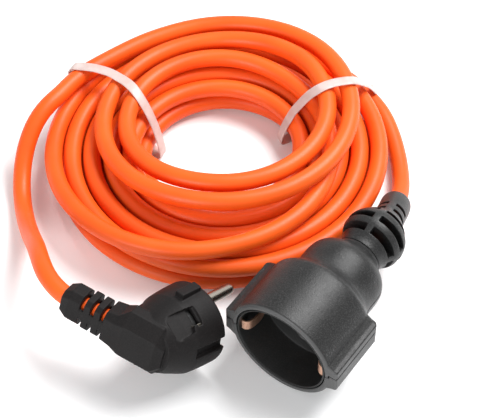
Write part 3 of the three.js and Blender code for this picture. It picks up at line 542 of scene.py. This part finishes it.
def tie(name, run):
    """Closed flat band with rounded edges, its face kept towards the strands."""
    keys = np.array(run, float)
    # it runs on past both ends to close without a corner, and the two spans at each end are dropped
    spare = 2 * TIE_SPAN_POINTS
    looped = curved(np.vstack([keys[-2:], keys, keys[:3]]), TIE_SPAN_POINTS)[spare:-spare]
    for _ in range(TIE_EASING):
        looped = looped / 2 + (np.roll(looped, 1, 0) + np.roll(looped, -1, 0)) / 4
    middle = keys.mean(0)
    strand = np.cross((0, 0, 1), middle / np.linalg.norm(middle))
    rings = []
    for i, p in enumerate(looped):
        t = looped[(i + 1) % len(looped)] - looped[i - 1]
        t /= np.linalg.norm(t)
        out = np.cross(t, strand)
        out /= np.linalg.norm(out)
        wide = np.cross(out, t)
        rings.append([p + a * TIE_WIDTH * wide + b * TIE_THICK * out for a, b in TIE_SECTION])
    band = solid(name, rings + rings[:1], closed_ends=False)
    modified(band, "WELD", merge_threshold=0.001)
    modified(band, "SUBSURF", levels=1, render_levels=1)
    return settle(band, name + "_band", COIL, NYLON, "tie_nylon", name)


for name, run in TIE_RUNS.items():
    tie(name, run)


# ---------- socket ----------
SHELL_LENGTH, EAR_REACH = 56.5, 26.5
RECESS_FLOOR, RECESS_R = 17.5, 19.75
CUP_R, CUP_BACK = 20.85, 24.5
HOLE_R = 3.0
SHELL_KEYS = [(2, 23.5), (26, 23.5), (28.6, 23.1), (30.6, 21.6), (32.4, 19.7), (34.4, 18.5),
              (38, 17.9), (43, 17.9), (46.8, 17.4), (49.6, 16), (51.8, 13.8), (53.6, 11.7),
              (55.2, 10.4), (SHELL_LENGTH, 9.9)]
# seam between the half shells: where the lap starts, its step, past the grips, half the gap
LAP, STEP, REACH, SEAM = 22.6, 1.6, 28.0, 0.22
PAST_ENDS = (-2, 58)  # along x, beyond both ends of the shell


def ears():
    """The two long grips, flat outside and flared where they meet the barrel."""
    section = [(19, -9.2), (22.6, -7.6), (24.6, -6.3), (EAR_REACH, -5.7),
               (EAR_REACH, 5.7), (24.6, 6.3), (22.6, 7.6), (19, 9.2)]
    made = []
    for side in (-1, 1):
        rings = []
        # only the outer corners are set in at the ends
        for x, inset in ((0.15, 0.5), (0.8, 0), (28.6, 0), (30, 1.2)):
            rings.append([(x, side * (y - inset * (y > 22)), z * (1 - 0.04 * inset))
                          for y, z in section])
        made.append(solid("ear", rings))
    return made


def socket_body():
    """Barrel, bulb and grips in one, hollow for the cup, the contacts and the cable."""
    body = turned("body", [(0, 22.8), (0.7, 23.5), *curved(SHELL_KEYS, 4)])
    joined(body, *ears())
    cavity = turned("cavity", [(-1, 21.15), (26.3, 21.15), (26.3, 18.4), (28.3, 18.4), (31, 15.1),
                               (44.5, 15.1), (51.5, 7.1), (51.5, BORE_R), (58, BORE_R)])
    return cut(body, cavity)


def shell(name, *cutters):
    """Half shell: what the cutters leave of the whole body."""
    body = cut(socket_body(), *cutters)
    moulded(body, 0.3, 4)
    return settle(body, name + "_moulding", SOCKET, BLACK_RUBBER, "socket_rubber", name)


shell("socket_shell_upper",
      box(*PAST_ENDS, -REACH, REACH, -REACH, SEAM),
      box(*PAST_ENDS, LAP, REACH, -1, STEP + SEAM),
      box(*PAST_ENDS, -REACH, -LAP, -1, STEP + SEAM))
shell("socket_shell_lower",
      box(*PAST_ENDS, -LAP - 2 * SEAM, LAP + 2 * SEAM, -SEAM, REACH),
      box(*PAST_ENDS, -REACH, REACH, STEP - SEAM, REACH))


def recess():
    """Cup with a lip, a flat floor, funnelled contact holes and two slots for the earth arms."""
    cup = turned("cup", [(RECESS_FLOOR, ON_AXIS), (RECESS_FLOOR, 18.9), (17.2, 19.5), (16.6, RECESS_R),
                         (1, RECESS_R), (0.35, 20), (0.25, 20.3), (0.4, 20.7), (0.8, CUP_R),
                         (CUP_BACK, CUP_R), (CUP_BACK, ON_AXIS)], 160)
    funnel = [(16, 4.6), (RECESS_FLOOR, 4.3), (18.6, 3.2), (20, HOLE_R), (26, HOLE_R)]
    for side in (-1, 1):
        cut(cup, turned("hole", funnel, 48, side * CONTACT_SPACING / 2))
        cut(cup, box(16, 26, *sorted((side * 17.5, side * 19)), -3.3, 3.3))
    return settle(cup, "socket_recess", SOCKET, BLACK_NYLON, "insert_plastic", "socket_cup", crease=30)


# section of the metal leaf, as shares of its half width and of its thickness
LEAF_SECTION = ((-0.94, -0.5), (0.94, -0.5), (1, -0.2), (1, 0.2),
                (0.94, 0.5), (-0.94, 0.5), (-1, 0.2), (-1, -0.2))
LEAF_HALF, LEAF_THICK = 2.6, 0.9
# earth arm in the x, y plane: it curls back to the wall at the mouth and bows into the recess
EARTH_ARM = [(1.9, 19.3), (2.0, 17.9), (3.2, 16.6), (6, 15.8), (9, 15.6), (12, 16.1), (14.6, 17.3),
             (17, 18.1), (20, 18.25), (25.25, 18.25)]


def leaf(points):
    """Strip of metal bent along points in the x, y plane, with rounded long edges."""
    points = curved(points, 5)
    along = directions(points)
    across = np.column_stack([-along[:, 1], along[:, 0]])
    return solid("leaf", [[(*(p + c * LEAF_THICK * b), LEAF_HALF * a) for a, b in LEAF_SECTION]
                          for p, c in zip(points, across)])


def earth_springs():
    """The two bowed arms and the bridge behind the recess that joins them."""
    springs = joined(leaf(EARTH_ARM), leaf([(x, -y) for x, y in EARTH_ARM]),
                     box(24.8, 25.7, -18.7, 18.7, -LEAF_HALF, LEAF_HALF))
    return settle(springs, "socket_earth_springs", SOCKET, BRONZE, "brass", "socket_earth_strap")


recess()
earth_springs()


# ---------- bend relief of the socket ----------
RELIEF = curved(RELIEF_AXIS, 16)
RELIEF_RUN = run_lengths(RELIEF)
RELIEF_LENGTH = RELIEF_RUN[-1]
RELIEF_START = SHELL_LENGTH + 0.3 - RELIEF_AXIS[0][0]  # it comes out of the shell with a 0.3 mm gap
RELIEF_KEYS = [(0, 9.8), (2.5, 10.2), (5.5, 11.6), (9, 13.3), (12.5, 13.6), (15.5, 12.7),
               (18.5, 10.6), (21.5, 8.4), (25, 7.3), (29, 6.9), (32, 6.7)]
# rows of windows: start, width along the cable, radius at which the spines are measured
WINDOW_ROWS = [(4.6, 2.6, 13.6), (9.8, 2.6, 13.6), (15, 2.6, 13.6), (24, 2.4, 6.4), (29.5, 2.4, 6.4)]
WINDOW_IN, WINDOW_OUT = BORE_R - 1, 16
SPINE_HALF = 1.6
LOOK_ALONG = 1.5  # how far each way its direction is measured


def relief_frame(s):
    """Centre, left and up on the relief's curved axis, s mm from its start."""
    at = min(max(s, 0.0), RELIEF_LENGTH)
    near = [np.array([np.interp(v, RELIEF_RUN, RELIEF[:, k]) for k in range(3)])
            for v in (max(at - LOOK_ALONG, 0), min(at + LOOK_ALONG, RELIEF_LENGTH), at)]
    along = (near[1] - near[0]) / np.linalg.norm(near[1] - near[0])
    side = np.cross((0, 0, 1), along)
    side /= np.linalg.norm(side)
    return near[2] + along * (s - at), side, np.cross(along, side)


def bent(name, profile, sides=96):
    """Round body along the relief's curved axis from (s, radius) pairs."""
    return solid(name, [circle(*relief_frame(s), radius, sides) for s, radius in profile])


def window(s0, s1, a0, a1):
    """Wedge that opens one window between two ribs, from direction a0 to a1 in degrees."""
    arc = [math.radians(a) for a in np.linspace(a0, a1, 12)]
    rings = []
    for s in np.linspace(s0, s1, 3):
        centre, side, up = relief_frame(s)
        ring = [centre + WINDOW_OUT * (math.cos(a) * side + math.sin(a) * up) for a in arc]
        ring += [centre + WINDOW_IN * (math.cos(a) * side + math.sin(a) * up) for a in arc[::-1]]
        rings.append(ring)
    return solid("window", rings)


def bend_relief():
    """Ribbed cage and neck that the cable leaves through, open between its four spines."""
    keys = [(RELIEF_START + s, r) for s, r in RELIEF_KEYS]
    keys += [(RELIEF_LENGTH - 5, 6.7), (RELIEF_LENGTH - 0.8, 6.5), (RELIEF_LENGTH, 6.0)]
    relief = bent("relief", curved(keys, 4))
    cut(relief, bent("bore", [(s, BORE_R) for s in np.linspace(-2, RELIEF_LENGTH + 2, 24)], 48))
    for start, wide, radius in WINDOW_ROWS:
        spine = math.degrees(SPINE_HALF / radius)
        s = RELIEF_START + start
        for a0 in (0, 90, 180, 270):
            cut(relief, window(s, s + wide, a0 + spine, a0 + 90 - spine))
    moulded(relief, 0.22, 2)
    return settle(relief, "socket_relief_moulding", SOCKET, BLACK_RUBBER, "socket_rubber",
                  "socket_bend_relief")


bend_relief()


# ---------- plug ----------
HALF_HEIGHT, HALF_DEPTH = 12.0, 7.6
TAIL, REACH_OUT = 8.0, 19.5
RIB_HEIGHT, RIB_DEPTH, RIB_THICK, RIB_PITCH = 7.4, 5.8, 2.9, 4.7
RIBS_FROM = REACH_OUT + 1.8
BLOCK_FROM = RIBS_FROM + 2 * RIB_PITCH
CORD_EXIT = BLOCK_FROM + 9
LUG_TURN, NOTCH_TURN, POCKET_TURN = -6.0, 81.0, 30.0  # round the hub from the pin line, degrees
BOTH_SIDES = (0, 180)
# limits in x, y and z before they are turned round the hub
LUG = (-12.6, -2.1, -2.1, 2.1, 15, 19.5)
NOTCH = (-15.5, 1, -2.5, 2.5, 15, 19.5)
SLOT = (-13.1, -10.9, -3.6, 4.3, 11, 18)
HUB = [(-0.1, 16.5), (0, 16.8), (-0.5, 17.3), (-1.2, 17.5), (-7, 17.4), (-12, 17.1), (-14.8, 16.8),
       (-18, 15.5), (-22, 13.8), (-26.5, 11.6)]
# fan of rubber: x, half width, half height
WEB = ((-3, 17.2, 17.2), (-13, 16.5, 14.6), (-22, 17, 11), (-27, 18, 8))
# sunk wedge: x, its two sides, its depth from the hub's axis
POCKET = ((-23, -5.6, 5.6, 12.6), (-17, -5.2, 5.2, 13.4), (-15, -4.9, 5, 13.9), (-14.6, -2.6, 5, 14),
          (-11.2, -2.6, 4.6, 14.7), (-10.5, -2.6, 4.5, 16))


def bar(*stations):
    """Chamfered bar along the handle from (s, half depth, half height, chamfer)."""
    rings = []
    for s, n, h, c in stations:
        section = [(n, -h + c), (n, h - c), (n - c, h), (-n + c, h),
                   (-n, h - c), (-n, -h + c), (-n + c, -h), (n - c, -h)]
        rings.append([on_handle(s, a, z) for a, z in section])
    return solid("bar", rings)


def rib(s):
    """One of the thin ribs between the handle and the cord block."""
    return bar((s, RIB_DEPTH, RIB_HEIGHT, 2), (s + RIB_THICK, RIB_DEPTH, RIB_HEIGHT, 2))


def rail(side):
    """Strip of rubber that ties the ribs together on one side."""
    section = [(RIB_DEPTH - 1.3, -2.2), (RIB_DEPTH - 0.1, -2.2),
               (RIB_DEPTH - 0.1, 2.2), (RIB_DEPTH - 1.3, 2.2)]
    return solid("rail", [[on_handle(s, side * n, z) for n, z in section]
                          for s in (REACH_OUT - 2, BLOCK_FROM + 2)])


def spun(piece, degrees):
    """The piece turned round the hub's axis."""
    piece.data.transform(Matrix.Rotation(math.radians(degrees), 4, "X"))
    return piece


def earth_pocket():
    """Wedge sunk in the hub's side, with the slot of the earth strip at its deep end."""
    wedge = solid("wedge", [[(x, a, 20), (x, b, 20), (x, b, z), (x, a, z)] for x, a, b, z in POCKET])
    return joined(wedge, box(*SLOT))


def web():
    """Fan of rubber that fills the corner between the hub and the handle."""
    turns = np.linspace(0, math.pi, 17)
    return solid("web", [[(x, y * math.sin(a), z * math.cos(a)) for a in turns] for x, y, z in WEB])


def cable_bore():
    """Hole along the handle for the cable."""
    angles = np.linspace(0, 2 * math.pi, 48, endpoint=False)
    return solid("bore", [[on_handle(s, BORE_R * math.cos(a), BORE_R * math.sin(a)) for a in angles]
                          for s in (3, CORD_EXIT + 1)])


def plug_body():
    """Hub, handle, ribs and cord block in one moulding round the pin disc."""
    n, h = HALF_DEPTH, HALF_HEIGHT
    handle = bar((-TAIL, n - 2, h - 3.5, 4), (-TAIL + 3.5, n, h, 5), (REACH_OUT - 9, n, h, 5),
                 (REACH_OUT - 5, n - 0.6, h - 3.6, 2.6), (REACH_OUT, n - 1.2, h - 4.6, 2))
    block = bar((BLOCK_FROM, RIB_DEPTH, RIB_HEIGHT, 2.6),
                (CORD_EXIT - 3.5, RIB_DEPTH, RIB_HEIGHT, 2.6),
                (CORD_EXIT, RIB_DEPTH - 1, RIB_HEIGHT - 2.2, 2))
    body = joined(turned("hub", HUB), web(), handle, block, rib(RIBS_FROM), rib(RIBS_FROM + RIB_PITCH),
                  rail(-1), rail(1))
    for turn in BOTH_SIDES:
        joined(body, spun(box(*LUG), LUG_TURN + turn))
    for turn in BOTH_SIDES:
        cut(body, spun(box(*NOTCH), NOTCH_TURN + turn))
    for turn in BOTH_SIDES:
        cut(body, spun(earth_pocket(), POCKET_TURN + turn))
    seat = turned("seat", [(1, 13.9), (-13.3, 13.9)], 64)
    well = turned("well", [(0, 12.4), (-19.9, 12.4)], 64)
    cut(body, seat, well, cable_bore())
    moulded(body, 0.26, 3)
    return settle(body, "plug_moulding", PLUG, PLUG_RUBBER, "plug_rubber", "plug_overmould")


def plug_pins():
    """The two round pins with domed tips."""
    tip = curved([(16.2, PIN_R), (17.6, 2.15), (18.5, 1.5), (PIN_LENGTH, ON_AXIS)], 5)
    profile = [(-15.5, ON_AXIS), (-15.5, PIN_R), (16.2, PIN_R), *tip[1:]]
    made = []
    for word, side in (("upper", 1), ("lower", -1)):
        pin = turned("pin", profile, 40, side * CONTACT_SPACING / 2)
        made.append(settle(pin, f"plug_pin_{word}_round", PLUG, NICKEL, "pin_nickel",
                           f"plug_pin_{word}"))
    return made


plug_moulding = plug_body()
pins = plug_pins()

# ---------- CAD pieces that keep their shape, with their edges broken ----------
KEPT = {
    "plug_pin_carrier": BLACK_NYLON,
    "plug_earth_strap": NICKEL,
    "socket_contact_upper": BRONZE, "socket_contact_lower": BRONZE,
    "socket_crimp_upper": TINNED, "socket_crimp_lower": TINNED,
    "plug_crimp_upper": TINNED, "plug_crimp_lower": TINNED,
    "socket_core_brown": BROWN_CORE, "plug_core_brown": BROWN_CORE,
    "socket_core_blue": BLUE_CORE, "plug_core_blue": BLUE_CORE,
    "socket_core_earth": EARTH_CORE, "plug_core_earth": EARTH_CORE,
}
for name, finish in KEPT.items():
    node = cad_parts[name]
    node.data.materials.clear()
    node.data.materials.append(finish)
    node.modifiers.new("weld", "WELD").merge_threshold = 0.00001
    edges = node.modifiers.new("edges", "BEVEL")
    edges.width, edges.segments, edges.angle_limit = 0.00015, 2, math.radians(40)


# ---------- floor, light and camera, in metres ----------
FLOOR_HALF, FLOOR_Z = 4, -0.0002  # just under the part
LENS, SENSOR = 114.9, 36  # mm
CAMERA_AT, CAMERA_TO = (0.00448, -0.41856, 0.54783), (0.00448, 0.0172, 0)


def seen_directly(tree):
    """1 for the camera, for reflections and through clear plastic, 0 for the light on the pieces."""
    rays = add(tree, "ShaderNodeLightPath").outputs
    seen = add(tree, "ShaderNodeMath", links={0: rays["Is Camera Ray"], 1: rays["Is Glossy Ray"]},
               operation="MAXIMUM")
    return add(tree, "ShaderNodeMath", links={0: seen.outputs[0], 1: rays["Is Transmission Ray"]},
               operation="MAXIMUM").outputs[0]


def studio_floor():
    """White floor that stays white to the camera and in reflections, and keeps the shadows."""
    mesh = bpy.data.meshes.new("floor")
    mesh.from_pydata([(x * FLOOR_HALF, y * FLOOR_HALF, FLOOR_Z) for x, y in
                      ((-1, -1), (1, -1), (1, 1), (-1, 1))], [], [(0, 1, 2, 3)])
    made = bpy.data.materials.new("White_paper_floor")
    made.use_nodes = True
    tree = made.node_tree
    tree.nodes.clear()
    paper = add(tree, "ShaderNodeBsdfDiffuse", {"Color": rgb("#f4f4f4")})
    glow = add(tree, "ShaderNodeEmission", {"Color": rgb("#ffffff"), "Strength": 0.12})
    lit = add(tree, "ShaderNodeAddShader", links={0: paper.outputs[0], 1: glow.outputs[0]})
    mix = add(tree, "ShaderNodeMixShader",
              links={0: seen_directly(tree), 1: paper.outputs[0], 2: lit.outputs[0]})
    add(tree, "ShaderNodeOutputMaterial", links={"Surface": mix.outputs[0]})
    mesh.materials.append(made)
    put_in("floor", mesh)


def softbox(name, at, towards, size, power):
    """Broad soft lamp of a size in metres and a power in watts."""
    light = bpy.data.lights.new(name, "AREA")
    light.shape, light.size, light.size_y, light.energy = "RECTANGLE", size[0], size[1], power
    lamp = put_in(name, light)
    lamp.location = at
    lamp.rotation_euler = (Vector(towards) - Vector(at)).to_track_quat("-Z", "Y").to_euler()


def studio():
    """White surroundings to the eye, a dimmer and cooler room for the light, and two soft lamps."""
    world = bpy.data.worlds.new("studio")
    scene.world = world
    world.use_nodes = True
    tree = world.node_tree
    tree.nodes.clear()
    back = add(tree, "ShaderNodeBackground", {"Color": rgb("#ffffff"), "Strength": 1.0})
    room = add(tree, "ShaderNodeBackground", {"Color": rgb("#f3f5f8"), "Strength": 0.36})
    mix = add(tree, "ShaderNodeMixShader",
              links={0: seen_directly(tree), 1: room.outputs[0], 2: back.outputs[0]})
    add(tree, "ShaderNodeOutputWorld", links={"Surface": mix.outputs[0]})
    softbox("overhead", (0.46, 0.3, 0.9), (0, 0, 0), (0.7, 0.5), 17)
    softbox("front", (-0.62, -0.86, 0.42), (0, -0.03, 0.02), (0.5, 0.5), 8)


def camera():
    """Camera where the photograph was taken from."""
    data = bpy.data.cameras.new("camera")
    data.sensor_width, data.lens = SENSOR, LENS
    eye = put_in("camera", data)
    eye.location = CAMERA_AT
    look = Vector(CAMERA_TO) - eye.location
    eye.rotation_euler = look.to_track_quat("-Z", "Y").to_euler()
    scene.camera = eye


scene.view_settings.view_transform = "Standard"
studio_floor()
studio()
camera()
